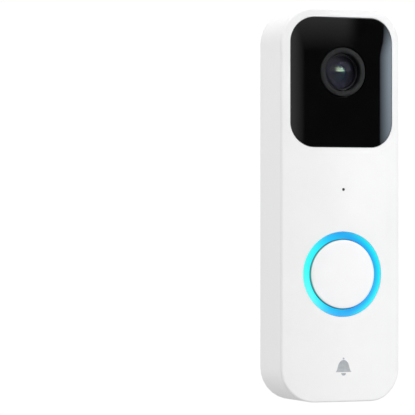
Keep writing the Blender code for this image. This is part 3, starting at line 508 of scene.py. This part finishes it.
slotFinish = {
    "white_abs": whitePlastic, "black_acrylic": windowAcrylic, "black_nylon": blackNylon,
    "lens_glass": lensGlass, "filter_glass": lensGlass, "light_guide": lightGuide,
    "grey_silicone": greySilicone, "black_rubber": blackRubber, "adhesive_foam": foamTape,
    "circuit_laminate": laminate, "epoxy_chip": chipEpoxy, "clear_epoxy": clearEpoxy,
    "polyimide": polyimide, "tinned_steel": tinnedSteel, "sprung_steel": springSteel,
    "brass": turnedBrass, "gold_plate": goldPlate, "cell_jacket": cellJacket, "paper_cone": paperCone,
}
print("finishes ready:", len(slotFinish))


# The arris is the broken edge at the seam, as (inset, height above the seam) pairs
cover = {"hole": 14.15, "sound": 0.5, "edge": 0.04, "room": 0.15, "skin": 1.6, "pocket": 1.95,
         "ledge": 3.0, "ledgeLow": 16.0, "ledgeHigh": 18.0, "rings": 8, "backRings": 4,
         "arris": [(0.0, 0.05), (0.02, 0.015), (0.06, 0.0)],
         "tongueOut": 2.1, "tongueIn": 2.6, "tongueEnd": 17.8, "tongueEdge": 0.1,
         "sightWidth": 13.0, "sightHeight": 18.0, "sightCorner": 5.0, "sightZ": 39.5}


def coverBack(x, z):
    # inner face: the skin follows the crown, and thickens to the window's ledge in its top part
    thicker = (cover["ledge"] - cover["skin"]) * smoothStep(z, cover["ledgeLow"], cover["ledgeHigh"])
    return crown(x) - cover["skin"] - thicker


def coverHoles(grow):
    # the front's three openings and its lowest line, the openings larger by grow
    return faceHoles(cover["room"] + grow, cover["sound"] + grow, cover["hole"] + grow)


def coverWall():
    # (inset, depth) rows: a quarter round from the face to the side, the arris at the seam, in
    # under it, round the tongue that enters the housing, and up to the inner face
    fillet = case["fillet"]
    seam = case["seamFront"]
    out, inside, end, edge = (cover[key] for key in ("tongueOut", "tongueIn", "tongueEnd", "tongueEdge"))
    rows = [(fillet * (1 - sin(t)), lambda x, z, drop=fillet * (1 - cos(t)): crown(x) - drop)
            for t in np.linspace(0, pi / 2, 7)]
    rows += [(inset, seam + rise) for inset, rise in cover["arris"]]
    rows += [(out - edge, seam), (out, seam - edge), (out, end + edge), (out + edge, end), (inside, end),
             (inside, coverBack)]
    return rows


def makeFrontCover():
    front = [between(hole, border, cover["rings"], crownFace)
             for hole, border in faceZones(case["fillet"], coverHoles(cover["edge"]))]
    sight, _ = roundedLoop(cover["sightWidth"], cover["sightHeight"], cover["sightCorner"], cover["sightZ"],
                           sides["across"], sides["window"])
    behind = coverHoles(0.0)
    back = [between(hole, border, cover["backRings"], coverBack)
            for hole, border in faceZones(cover["tongueIn"], (sight,) + behind[1:])]
    wall = [sweepOutline(coverWall(), outlineLoop())]
    # the rounded lip and the wall of each hole; the window's has a pocket floor for the pane
    holes = []
    for i in range(3):
        made = []
        for t in np.linspace(0, pi / 2, 5):
            loop = coverHoles(cover["edge"] * (1 - sin(t)))[i]
            made.append(place(loop[:, 0], crown(loop[:, 0]) - cover["edge"] * (1 - cos(t)), loop[:, 1]))
        loop = behind[i]
        if i == 0:
            for step in (loop, sight):
                made.append(place(step[:, 0], crown(step[:, 0]) - cover["pocket"], step[:, 1]))
            loop = sight
        made.append(place(loop[:, 0], coverBack(loop[:, 0], loop[:, 1]), loop[:, 1]))
        holes.append(np.array(made))
    return makePiece("frontCover", front + back + wall + holes, "camera_unit", ["front_cover"],
                     whitePlastic)


frontCover = makeFrontCover()
print("front cover:", len(frontCover.data.polygons), "faces")


def windowBack(x, z):
    # the pane's back: its front, moved in by the pane's thickness
    return crown(x) - window["thick"]


def makeWindow():
    # a pane that follows the crown, its rim rounded over, with a square-edged lens hole
    def loopOf(grow, inner):
        if inner:
            return circleLoop(window["hole"], case["lensZ"], window["across"], window["upright"])
        return roundedLoop(window["halfWidth"] - grow, window["halfHeight"] - grow, window["corner"] - grow,
                           case["windowZ"], window["across"], window["upright"])[0]

    hole = loopOf(0.0, True)
    front = between(hole, loopOf(window["edge"], False), window["rings"], crownFace, window["hold"])
    back = between(hole, loopOf(0.0, False), window["backRings"], windowBack)
    walls = []
    for inner, edge in ((True, 0.0), (False, window["edge"])):
        made = []
        for t in np.linspace(0, pi / 2, window["rimRows"] if edge else 1):
            loop = loopOf(edge * (1 - sin(t)), inner)
            made.append(place(loop[:, 0], crown(loop[:, 0]) - edge * (1 - cos(t)), loop[:, 1]))
        loop = loopOf(0.0, inner)
        made.append(place(loop[:, 0], windowBack(loop[:, 0], loop[:, 1]), loop[:, 1]))
        walls.append(np.array(made))
    return makePiece("cameraWindow", [front, back] + walls, "camera_unit", ["camera_window"],
                     windowAcrylic, 40)


makeWindow()


soundMesh = {"radius": 0.49, "front": 0.03, "rear": 0.25, "steps": 24}


def makeSoundMesh():
    # disc of acoustic mesh just inside the microphone hole, drawn as plain black
    radius, front, rear = soundMesh["radius"], soundMesh["front"], soundMesh["rear"]
    rows = [(radius, front, "crown"), (1e-4, front, "crown"), (1e-4, rear, "crown"),
            (radius, rear, "crown")]
    return makePiece("soundMesh", [turned(rows + rows[:1], case["soundZ"], soundMesh["steps"])],
                     "camera_unit", [], blackRubber)


makeSoundMesh()


lens = {"steps": 96, "bezelOut": 8.15, "bezelIn": 6.2, "flange": 9.55, "flangeRear": 20.3,
        "flangeFront": 21.0, "bezelBore": 21.3, "bezelDrop": 0.05, "outerEdge": 0.25, "innerEdge": 0.55}


def makeBezel():
    # flange behind the window, upright wall, rounded top that follows the crown, straight bore
    profile = [(lens["flange"], lens["flangeRear"]), (lens["flange"], lens["flangeFront"]),
               (lens["bezelOut"], lens["flangeFront"])]
    drop, outerEdge, innerEdge = lens["bezelDrop"], lens["outerEdge"], lens["innerEdge"]
    top = [(lens["bezelOut"] - outerEdge * (1 - cos(a)), drop + outerEdge * (1 - sin(a)), "crown")
           for a in np.linspace(0, pi / 2, 6)]
    top += [(lens["bezelIn"] + innerEdge * (1 - sin(a)), drop + innerEdge * (1 - cos(a)), "crown")
            for a in np.linspace(0, pi / 2, 8)]
    bore = [(lens["bezelIn"], lens["bezelBore"]), (lens["bezelIn"], lens["flangeRear"])]
    rows = turned(profile + top + bore + profile[:1], case["lensZ"], lens["steps"])
    return makePiece("lensBezel", [rows], "camera_unit", ["lens_bezel"], blackNylon, 40)


barrel = {"out": 5.9, "rear": 13.2, "front": 21.3, "edge": 0.08, "seat": 5.42, "shoulder": 19.6,
          "funnelTop": 4.7, "funnelFall": 1.7, "funnelSteps": 6, "funnelStep": 0.2,
          "throat": 3.0, "throatRear": 17.6, "bore": 4.4, "boreFront": 17.4,
          "ridge": 0.22, "ridgeLong": 0.3, "ridgeFront": 17.2, "ridgeEnd": 13.6, "ridgePitch": 0.7}


def makeBarrel():
    # tube with the front lens's seat, a stepped funnel down to the middle lens, and square
    # ridges in the bore behind it, which kill stray light
    edge = barrel["edge"]
    outside = [(barrel["bore"], barrel["rear"]), (barrel["out"], barrel["rear"]),
               (barrel["out"], barrel["front"] - edge), (barrel["out"] - edge, barrel["front"]),
               (barrel["seat"] + edge, barrel["front"]), (barrel["seat"], barrel["front"] - edge)]
    shoulder = [(barrel["seat"], barrel["shoulder"]), (barrel["funnelTop"], barrel["shoulder"])]
    for i in range(barrel["funnelSteps"]):
        radius = barrel["funnelTop"] - barrel["funnelFall"] * i / (barrel["funnelSteps"] - 1)
        level = barrel["shoulder"] - barrel["funnelStep"] * i
        shoulder += [(radius, level), (radius, level - barrel["funnelStep"])]
    bore = [(barrel["throat"], barrel["throatRear"]), (barrel["bore"], barrel["boreFront"])]
    tip = barrel["bore"] - barrel["ridge"]
    for depth in np.arange(barrel["ridgeFront"], barrel["ridgeEnd"], -barrel["ridgePitch"]):
        end = depth - barrel["ridgeLong"]
        bore += [(barrel["bore"], depth), (tip, depth), (tip, end), (barrel["bore"], end)]
    rows = turned(outside + shoulder + bore + outside[:1], case["lensZ"], lens["steps"])
    return makePiece("lensBarrel", [rows], "camera_unit", ["lens_barrel"], blackNylon, 40)


def domeRows(radius, rim, top, steps):
    # part of a sphere through the rim and the top
    rise = top - rim
    ball = (radius ** 2 + rise ** 2) / (2 * rise)
    return [(r, top - ball + np.sqrt(ball ** 2 - r ** 2)) for r in np.linspace(1e-4, radius, steps)]


glass = {"front": 5.3, "frontRear": 19.8, "frontRim": 20.6, "frontTop": 21.78, "edge": 0.1, "bowl": 5.1,
         "bowlDeep": 0.6, "middle": 3.0, "middleRim": 18.3, "middleTop": 18.66, "middleThick": 0.5,
         "inner": 4.1, "innerRear": 15.1, "innerRim": 15.6, "innerTop": 17.0, "innerDeep": 1.2}


def makeLensGlasses():
    # front lens: a dome in front, a thin edge, and a hollow back whose depth falls off with the
    # square of the radius
    radius, rear, edge = glass["front"], glass["frontRear"], glass["edge"]
    dome = domeRows(radius - edge, glass["frontRim"], glass["frontTop"], 16)
    side = [(radius, glass["frontRim"] - edge), (radius, rear + edge), (radius - edge, rear)]
    bowl = [(r, rear + glass["bowlDeep"] * (1 - (r / radius) ** 2))
            for r in np.linspace(glass["bowl"], 1e-4, 14)]
    rows = turned(dome + side + bowl, case["lensZ"], lens["steps"])
    makePiece("frontLens", [rows], "camera_unit", ["front_lens"], lensGlass, 40)
    # middle lens: a shallow dome with a flat back
    radius, rear = glass["middle"], glass["middleRim"] - glass["middleThick"]
    rows = domeRows(radius, glass["middleRim"], glass["middleTop"], 16) + [(radius, rear), (1e-4, rear)]
    rows = turned(rows, case["lensZ"], lens["steps"])
    makePiece("middleLens", [rows], "camera_unit", [], innerLensFinish, 40)
    # inner lens: domed on both sides
    radius, rear = glass["inner"], glass["innerRear"]
    rows = domeRows(radius, glass["innerRim"], glass["innerTop"], 14) + [(radius, rear)]
    rows += [(r, rear - glass["innerDeep"] * (1 - (r / radius) ** 2))
             for r in np.linspace(radius - edge, 1e-4, 10)]
    rows = turned(rows, case["lensZ"], lens["steps"])
    makePiece("innerLens", [rows], "camera_unit", ["rear_lens"], innerLensFinish, 40)


makeBezel()
makeBarrel()
makeLensGlasses()
print("camera pieces ready")


ring = {"in": 11.48, "out": 14.1, "drop": 0.12, "dip": 0.85, "swell": 0.06, "lip": 0.08,
        "lipShare": 0.07, "rows": 15, "rear": 19.75, "footIn": 12.4, "footOut": 15.2,
        "footFront": 20.4, "stepFront": 21.5, "steps": 128}


def makeLightRing():
    # a hoop whose face dips towards the button like a shallow dish, on a flange under the cover:
    # radius runs inwards evenly, the drop grows evenly but for a slight swell in the middle, and
    # both rims are rounded over
    top = []
    for t in np.linspace(0, 1, ring["rows"]):
        rims = max(0.0, 1 - t / ring["lipShare"]) + max(0.0, 1 - (1 - t) / ring["lipShare"])
        drop = ring["drop"] + (ring["dip"] - ring["drop"]) * t - ring["swell"] * sin(pi * t)
        top.append((ring["out"] + (ring["in"] - ring["out"]) * t, drop + ring["lip"] * rims, "crown"))
    profile = [(ring["footIn"], ring["rear"]), (ring["footOut"], ring["rear"]),
               (ring["footOut"], ring["footFront"]), (ring["out"], ring["footFront"])] + top
    profile += [(ring["in"], ring["stepFront"]), (ring["footIn"], ring["stepFront"]),
                (ring["footIn"], ring["rear"])]
    rows = turned(profile, case["buttonZ"], ring["steps"])
    return makePiece("lightRing", [rows], "camera_unit", ["light_ring"], lightGuide, 60)


button = {"radius": 11.36, "proud": 0.2, "fillet": 0.35, "flange": 12.0, "flangeRear": 21.0,
          "flangeFront": 21.4, "hollow": 10.2, "hollowFront": 21.9, "post": 2.8, "postRear": 21.1,
          "steps": 128}


def makeButtonCap():
    # face that follows the crown, rounded rim, flange that holds it in, hollow back with a post
    radius, proud, fillet = button["radius"], button["proud"], button["fillet"]
    face = [(r, -proud, "crown") for r in np.linspace(1e-4, radius - fillet, 14)]
    rim = [(radius - fillet * (1 - sin(a)), -proud + fillet * (1 - cos(a)), "crown")
           for a in np.linspace(0, pi / 2, 9)[1:]]
    under = [(radius, button["flangeFront"]), (button["flange"], button["flangeFront"]),
             (button["flange"], button["flangeRear"]), (button["hollow"], button["flangeRear"]),
             (button["hollow"], button["hollowFront"]), (button["post"], button["hollowFront"]),
             (button["post"], button["postRear"]), (1e-4, button["postRear"])]
    rows = turned(face + rim + under, case["buttonZ"], button["steps"])
    return makePiece("buttonCap", [rows], "button", ["button_cap"], capPlastic, 40)


# (radius, depth) pairs along the sheet: its front from the middle out, its foot, its back
membrane = {
    "front": [(1e-4, 20.95), (1.2, 20.94), (1.9, 20.9), (2.5, 20.8), (3.0, 20.7), (3.5, 20.65),
              (11.25, 20.65), (11.4, 20.5)],
    "foot": [(11.4, 19.4), (11.3, 19.3), (9.7, 19.3), (9.6, 19.4), (9.6, 20.38), (9.5, 20.45)],
    "back": [(3.2, 20.45), (2.7, 20.52), (2.2, 20.66), (1.7, 20.78), (1.0, 20.82), (1e-4, 20.83)],
    "steps": 72,
}


def makeMembrane():
    # silicone sheet with a raised dome in the middle and a foot all round; it is pressed flat
    # between the cap and the board as the button goes in
    profile = membrane["front"] + membrane["foot"] + membrane["back"]
    rows = turned(profile, case["buttonZ"], membrane["steps"])
    made = makePiece("buttonMembrane", [rows], "camera_unit", ["button_membrane"],
                     greySilicone, 50)
    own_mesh(made)


makeLightRing()
makeButtonCap()
makeMembrane()


# Heights are from the middle of the mark
mark = {"proud": 0.03, "sunk": 0.04, "columns": 17, "rows": 34, "lip": -1.7, "tall": 4.0, "half": 2.15,
        "shoulder": 2.6, "flare": 0.75, "flareFall": 0.6, "clapper": 0.85, "clapperZ": -2.05,
        "knob": 0.34, "knobZ": 2.75, "knobReach": 0.3}


def markPatch(low, high, halfWidth):
    # rows across the shape at each height, lifted onto the crown with a thin edge all round
    z = np.linspace(low, high, mark["rows"])[:, None]
    share = np.linspace(-1, 1, mark["columns"])[None, :]
    x = halfWidth(z) * share
    front = place(x, crown(x) + mark["proud"], case["markZ"] + z)
    back = place(x, crown(x) - mark["sunk"], case["markZ"] + z)
    border = [np.stack([front[0], back[0]]), np.stack([front[-1], back[-1]]),
              np.stack([front[:, 0], back[:, 0]]), np.stack([front[:, -1], back[:, -1]])]
    return [front, back] + border


def bellSide(z):
    # half width of a hand bell: a superellipse for the dome, plus a lip that fades upwards
    t = np.clip((z - mark["lip"]) / mark["tall"], 0, 1)
    dome = np.sqrt(np.clip(1 - t ** mark["shoulder"], 0, 1))
    return mark["half"] * dome + mark["flare"] * np.exp(-(z - mark["lip"]) / mark["flareFall"])


def discSide(z, radius, middle):
    # half width of a disc at a height: Pythagoras from its middle
    return np.sqrt(np.clip(radius ** 2 - (z - middle) ** 2, 0, None))


def clapperSide(z):
    return discSide(z, mark["clapper"], mark["clapperZ"])


def knobSide(z):
    return discSide(z, mark["knob"], mark["knobZ"])


def makeMark():
    grids = markPatch(mark["lip"], mark["lip"] + mark["tall"], bellSide)
    grids += markPatch(mark["clapperZ"] - mark["clapper"], mark["clapperZ"], clapperSide)
    grids += markPatch(mark["knobZ"] - mark["knobReach"], mark["knobZ"] + mark["knobReach"], knobSide)
    return makePiece("bellMark", grids, "camera_unit", [], markInk, 30, loops=False)


makeMark()
print("button and mark ready")


seal = {"slack": 0.08, "inset": 0.98, "half": 0.72, "square": 0.6, "points": 17}


def makeSeal():
    # a cord squashed a little between the two halves of the case; its section is a circle whose
    # sine and cosine are raised to a power below 1, which squares it up
    low = case["seamRear"] + seal["slack"]
    high = case["seamFront"] - seal["slack"]
    angle = np.linspace(0, tau, seal["points"])
    across = np.sign(np.cos(angle)) * np.abs(np.cos(angle)) ** seal["square"]
    up = np.sign(np.sin(angle)) * np.abs(np.sin(angle)) ** seal["square"]
    rows = list(zip(seal["inset"] - seal["half"] * across, (low + high) / 2 + (high - low) / 2 * up))
    return makePiece("perimeterSeal", [sweepOutline(rows, outlineLoop())], "camera_unit",
                     ["perimeter_seal"], greySilicone, 60)


makeSeal()
refined("rearHousing", "rear_housing", "camera_unit", whitePlastic)
refined("wallPlate", "mounting_plate", "wall_plate", whitePlastic)
refined("latchTongue", "latch_tongue", "latch", whitePlastic)
print("case pieces ready")


# Known fault: the record's materials name no nodes, so slotOf stays empty and every CAD node
# falls back to the white plastic. The name of a node's own material is its slot's name, and
# slotFinish[node.data.materials[0].name] would be the right finish
slotOf = {}
for entry in frame["record"]["materials"]:
    for name in entry.get("nodes", []):
        slotOf[name] = entry["slot"]
for name, node in nodes.items():
    for materialSlot in node.material_slots:
        materialSlot.link = "OBJECT"
        materialSlot.material = slotFinish[slotOf.get(name, "white_abs")]
print("CAD nodes finished:", len(nodes))


floorDisc = {"radius": 6.0, "segments": 96, "gap": 0.2, "glow": 0.62, "seenGlow": 1.02}


def makeFloor():
    # a large disc of plain paper, just under the doorbell; seen by the camera as clean white
    material, tree, shader, spot = newMaterial("whitePaperFloor", Roughness=0.9)
    tree.links.new(driftOf(tree, spot, 400, "FFFFFF", "FDFDFD"), shader.inputs["Base Color"])
    path = addNode(tree, "ShaderNodeLightPath")
    glows = {"To Min": floorDisc["glow"], "To Max": floorDisc["seenGlow"]}
    strength = addNode(tree, "ShaderNodeMapRange", glows, {"Value": path.outputs["Is Camera Ray"]})
    glow = addNode(tree, "ShaderNodeEmission", {"Color": (1, 1, 1, 1)},
                   {"Strength": strength.outputs["Result"]})
    tree.links.new(glow.outputs[0], tree.nodes["Material Output"].inputs["Surface"])
    shape = bmesh.new()
    bmesh.ops.create_circle(shape, cap_ends=True, radius=floorDisc["radius"],
                            segments=floorDisc["segments"])
    mesh = bpy.data.meshes.new("studioFloor")
    shape.to_mesh(mesh)
    shape.free()
    mesh.materials.append(material)
    floor = bpy.data.objects.new("studioFloor", mesh)
    floor.location.z = -(case["halfHeight"] + floorDisc["gap"]) * mm
    bpy.context.scene.collection.objects.link(floor)


# Where each light of the studio begins and ends, in degrees: azimuth is 0 straight in front of
# the doorbell and grows to the right, elevation is 0 level with it and grows upwards
light = {
    "leftEdge": (2.7, 8.9), "leftFar": (-30, -12), "leftTop": (9, 16),
    "aroundLeft": (-75, -45), "aroundRight": (80, 110),
    "leanRise": (3.15, 3.65), "lean": 1.6, "rightStep": (39.25, 39.5), "rightGrow": (39.3, 43.4),
    "rightLow": 0.95, "rightHigh": 7.0, "rightFar": (48, 56), "rightDim": (3.45, 3.8),
    "rightRise": (1.0, 3.0), "rightFoot": (-16, -9), "rightTop": (9, 16),
    "overRise": (3.34, 4.5), "overEnd": (24, 31),
    "keyLeft": (16, 26), "keyRight": (38, 48), "keyFoot": (4.2, 6.0), "keyTop": (13, 18), "key": 17.0,
    "ceiling": (42, 60), "base": 0.045, "matt": 1.27, "mattSide": 0.28, "mattAzimuth": 60,
    "white": 1.02,
}


def makeWorld():
    # white backdrop for the camera; soft even light for matt surfaces; for gloss, large soft
    # boxes round the set with a dark card in front, between 9 and 39 degrees to the right
    world = bpy.data.worlds.new("studio")
    bpy.context.scene.world = world
    world.use_nodes = True
    tree = world.node_tree
    tree.nodes.clear()
    direction = addNode(tree, "ShaderNodeTexCoord").outputs["Generated"]
    apart = addNode(tree, "ShaderNodeSeparateXYZ", links={"Vector": direction})

    def calc(operation, first, second=None):
        node = addNode(tree, "ShaderNodeMath", {"operation": operation})
        for i, value in enumerate((first, second)):
            if isinstance(value, (int, float)):
                node.inputs[i].default_value = value
            elif value is not None:
                tree.links.new(value, node.inputs[i])
        return node.outputs[0]

    def times(first, *others):
        for other in others:
            first = calc("MULTIPLY", first, other)
        return first

    def fade(value, edge, low, high, kind="SMOOTHSTEP"):
        settings = {"interpolation_type": kind, "From Min": edge[0], "From Max": edge[1],
                    "To Min": low, "To Max": high}
        return addNode(tree, "ShaderNodeMapRange", settings, {"Value": value}).outputs["Result"]

    def shade(strength, code):
        node = addNode(tree, "ShaderNodeBackground", {"Color": linear(code)}, {"Strength": strength})
        return node.outputs[0]

    def choose(factor, first, second):
        return addNode(tree, "ShaderNodeMixShader", links={0: factor, 1: first, 2: second}).outputs[0]

    ahead = calc("MULTIPLY", apart.outputs["Y"], -1.0)
    azimuth = times(calc("ARCTAN2", apart.outputs["X"], ahead), 180 / pi)
    elevation = times(calc("ARCSINE", apart.outputs["Z"]), 180 / pi)

    # a pale box to the left, whose soft right edge the window shows
    leftBox = times(fade(azimuth, light["leftEdge"], 1.0, 0.0, "LINEAR"),
                    fade(azimuth, light["leftFar"], 0.1, 1.0), fade(elevation, light["leftTop"], 1.0, 0.2))
    # a strong bluish box to the right: a crisp left edge that leans over at the top, then brighter
    # and brighter to the right
    leaning = calc("SUBTRACT", azimuth, fade(elevation, light["leanRise"], 0.0, light["lean"]))
    rightBox = times(fade(leaning, light["rightStep"], 0.0, 1.0),
                     fade(leaning, light["rightGrow"], light["rightLow"], light["rightHigh"], "LINEAR"),
                     fade(azimuth, light["rightFar"], 1.0, 0.1),
                     fade(elevation, light["rightDim"], 1.0, 0.6),
                     fade(elevation, light["rightRise"], 0.72, 1.0),
                     fade(elevation, light["rightFoot"], 0.0, 1.0),
                     fade(elevation, light["rightTop"], 1.0, 0.0))
    # a strip light above the dark card, and a strong key box over its right end
    overBox = times(fade(elevation, light["overRise"], 0.0, 1.0, "LINEAR"),
                    fade(azimuth, light["overEnd"], 1.0, 0.0))
    keyBox = times(fade(azimuth, light["keyLeft"], 0.0, 1.0), fade(azimuth, light["keyRight"], 1.0, 0.0),
                   fade(elevation, light["keyFoot"], 0.0, 1.0), fade(elevation, light["keyTop"], 1.0, 0.0),
                   light["key"])
    # the walls of the set and its ceiling
    around = calc("ADD", fade(azimuth, light["aroundLeft"], 1.0, 0.0),
                  fade(azimuth, light["aroundRight"], 0.0, 1.0))
    around = calc("MAXIMUM", around, fade(elevation, light["ceiling"], 0.0, 1.0))
    gloss = calc("ADD", calc("MAXIMUM", leftBox, overBox), calc("ADD", around, keyBox))
    gloss = calc("ADD", gloss, light["base"])
    # matt light: even, a little stronger from the right
    side = calc("ADD", times(apart.outputs["X"], sin(radians(light["mattAzimuth"]))),
                times(ahead, cos(radians(light["mattAzimuth"]))))
    matt = calc("ADD", times(side, light["mattSide"]), light["matt"])

    path = addNode(tree, "ShaderNodeLightPath")
    shiny = addNode(tree, "ShaderNodeAddShader",
                    links={0: shade(gloss, "FFFFFF"), 1: shade(rightBox, "DDEFFF")})
    lit = choose(path.outputs["Is Diffuse Ray"], shiny.outputs[0], shade(matt, "FFFFFF"))
    white = addNode(tree, "ShaderNodeBackground", {"Color": (1, 1, 1, 1), "Strength": light["white"]})
    seen = choose(path.outputs["Is Camera Ray"], lit, white.outputs[0])
    addNode(tree, "ShaderNodeOutputWorld", links={"Surface": seen})
    world.cycles.sampling_method = "NONE"


# Millimetres, degrees and metres: the lens, where it stands and how it is turned
eye = {"distance": 0.95, "azimuth": -23.82, "turn": 2.463, "lift": -3.46, "pitch": 0.17, "depth": 11.7,
       "length": 246.0, "sensor": 36, "nearest": 0.05}


def makeCamera():
    # long lens at the doorbell's own height, turned a little to its left
    angle = radians(eye["azimuth"])
    data = bpy.data.cameras.new("studioCamera")
    data.sensor_width = eye["sensor"]
    data.lens = eye["length"]
    data.clip_start = eye["nearest"]
    camera = bpy.data.objects.new("studioCamera", data)
    camera.location = (eye["distance"] * sin(angle), -eye["distance"] * cos(angle) - eye["depth"] * mm,
                       eye["lift"] * mm)
    camera.rotation_euler = (radians(90 + eye["pitch"]), 0, radians(eye["azimuth"] + eye["turn"]))
    bpy.context.scene.collection.objects.link(camera)
    bpy.context.scene.camera = camera


makeFloor()
makeWorld()
makeCamera()
bpy.context.scene.view_settings.view_transform = "Standard"
print("studio ready")
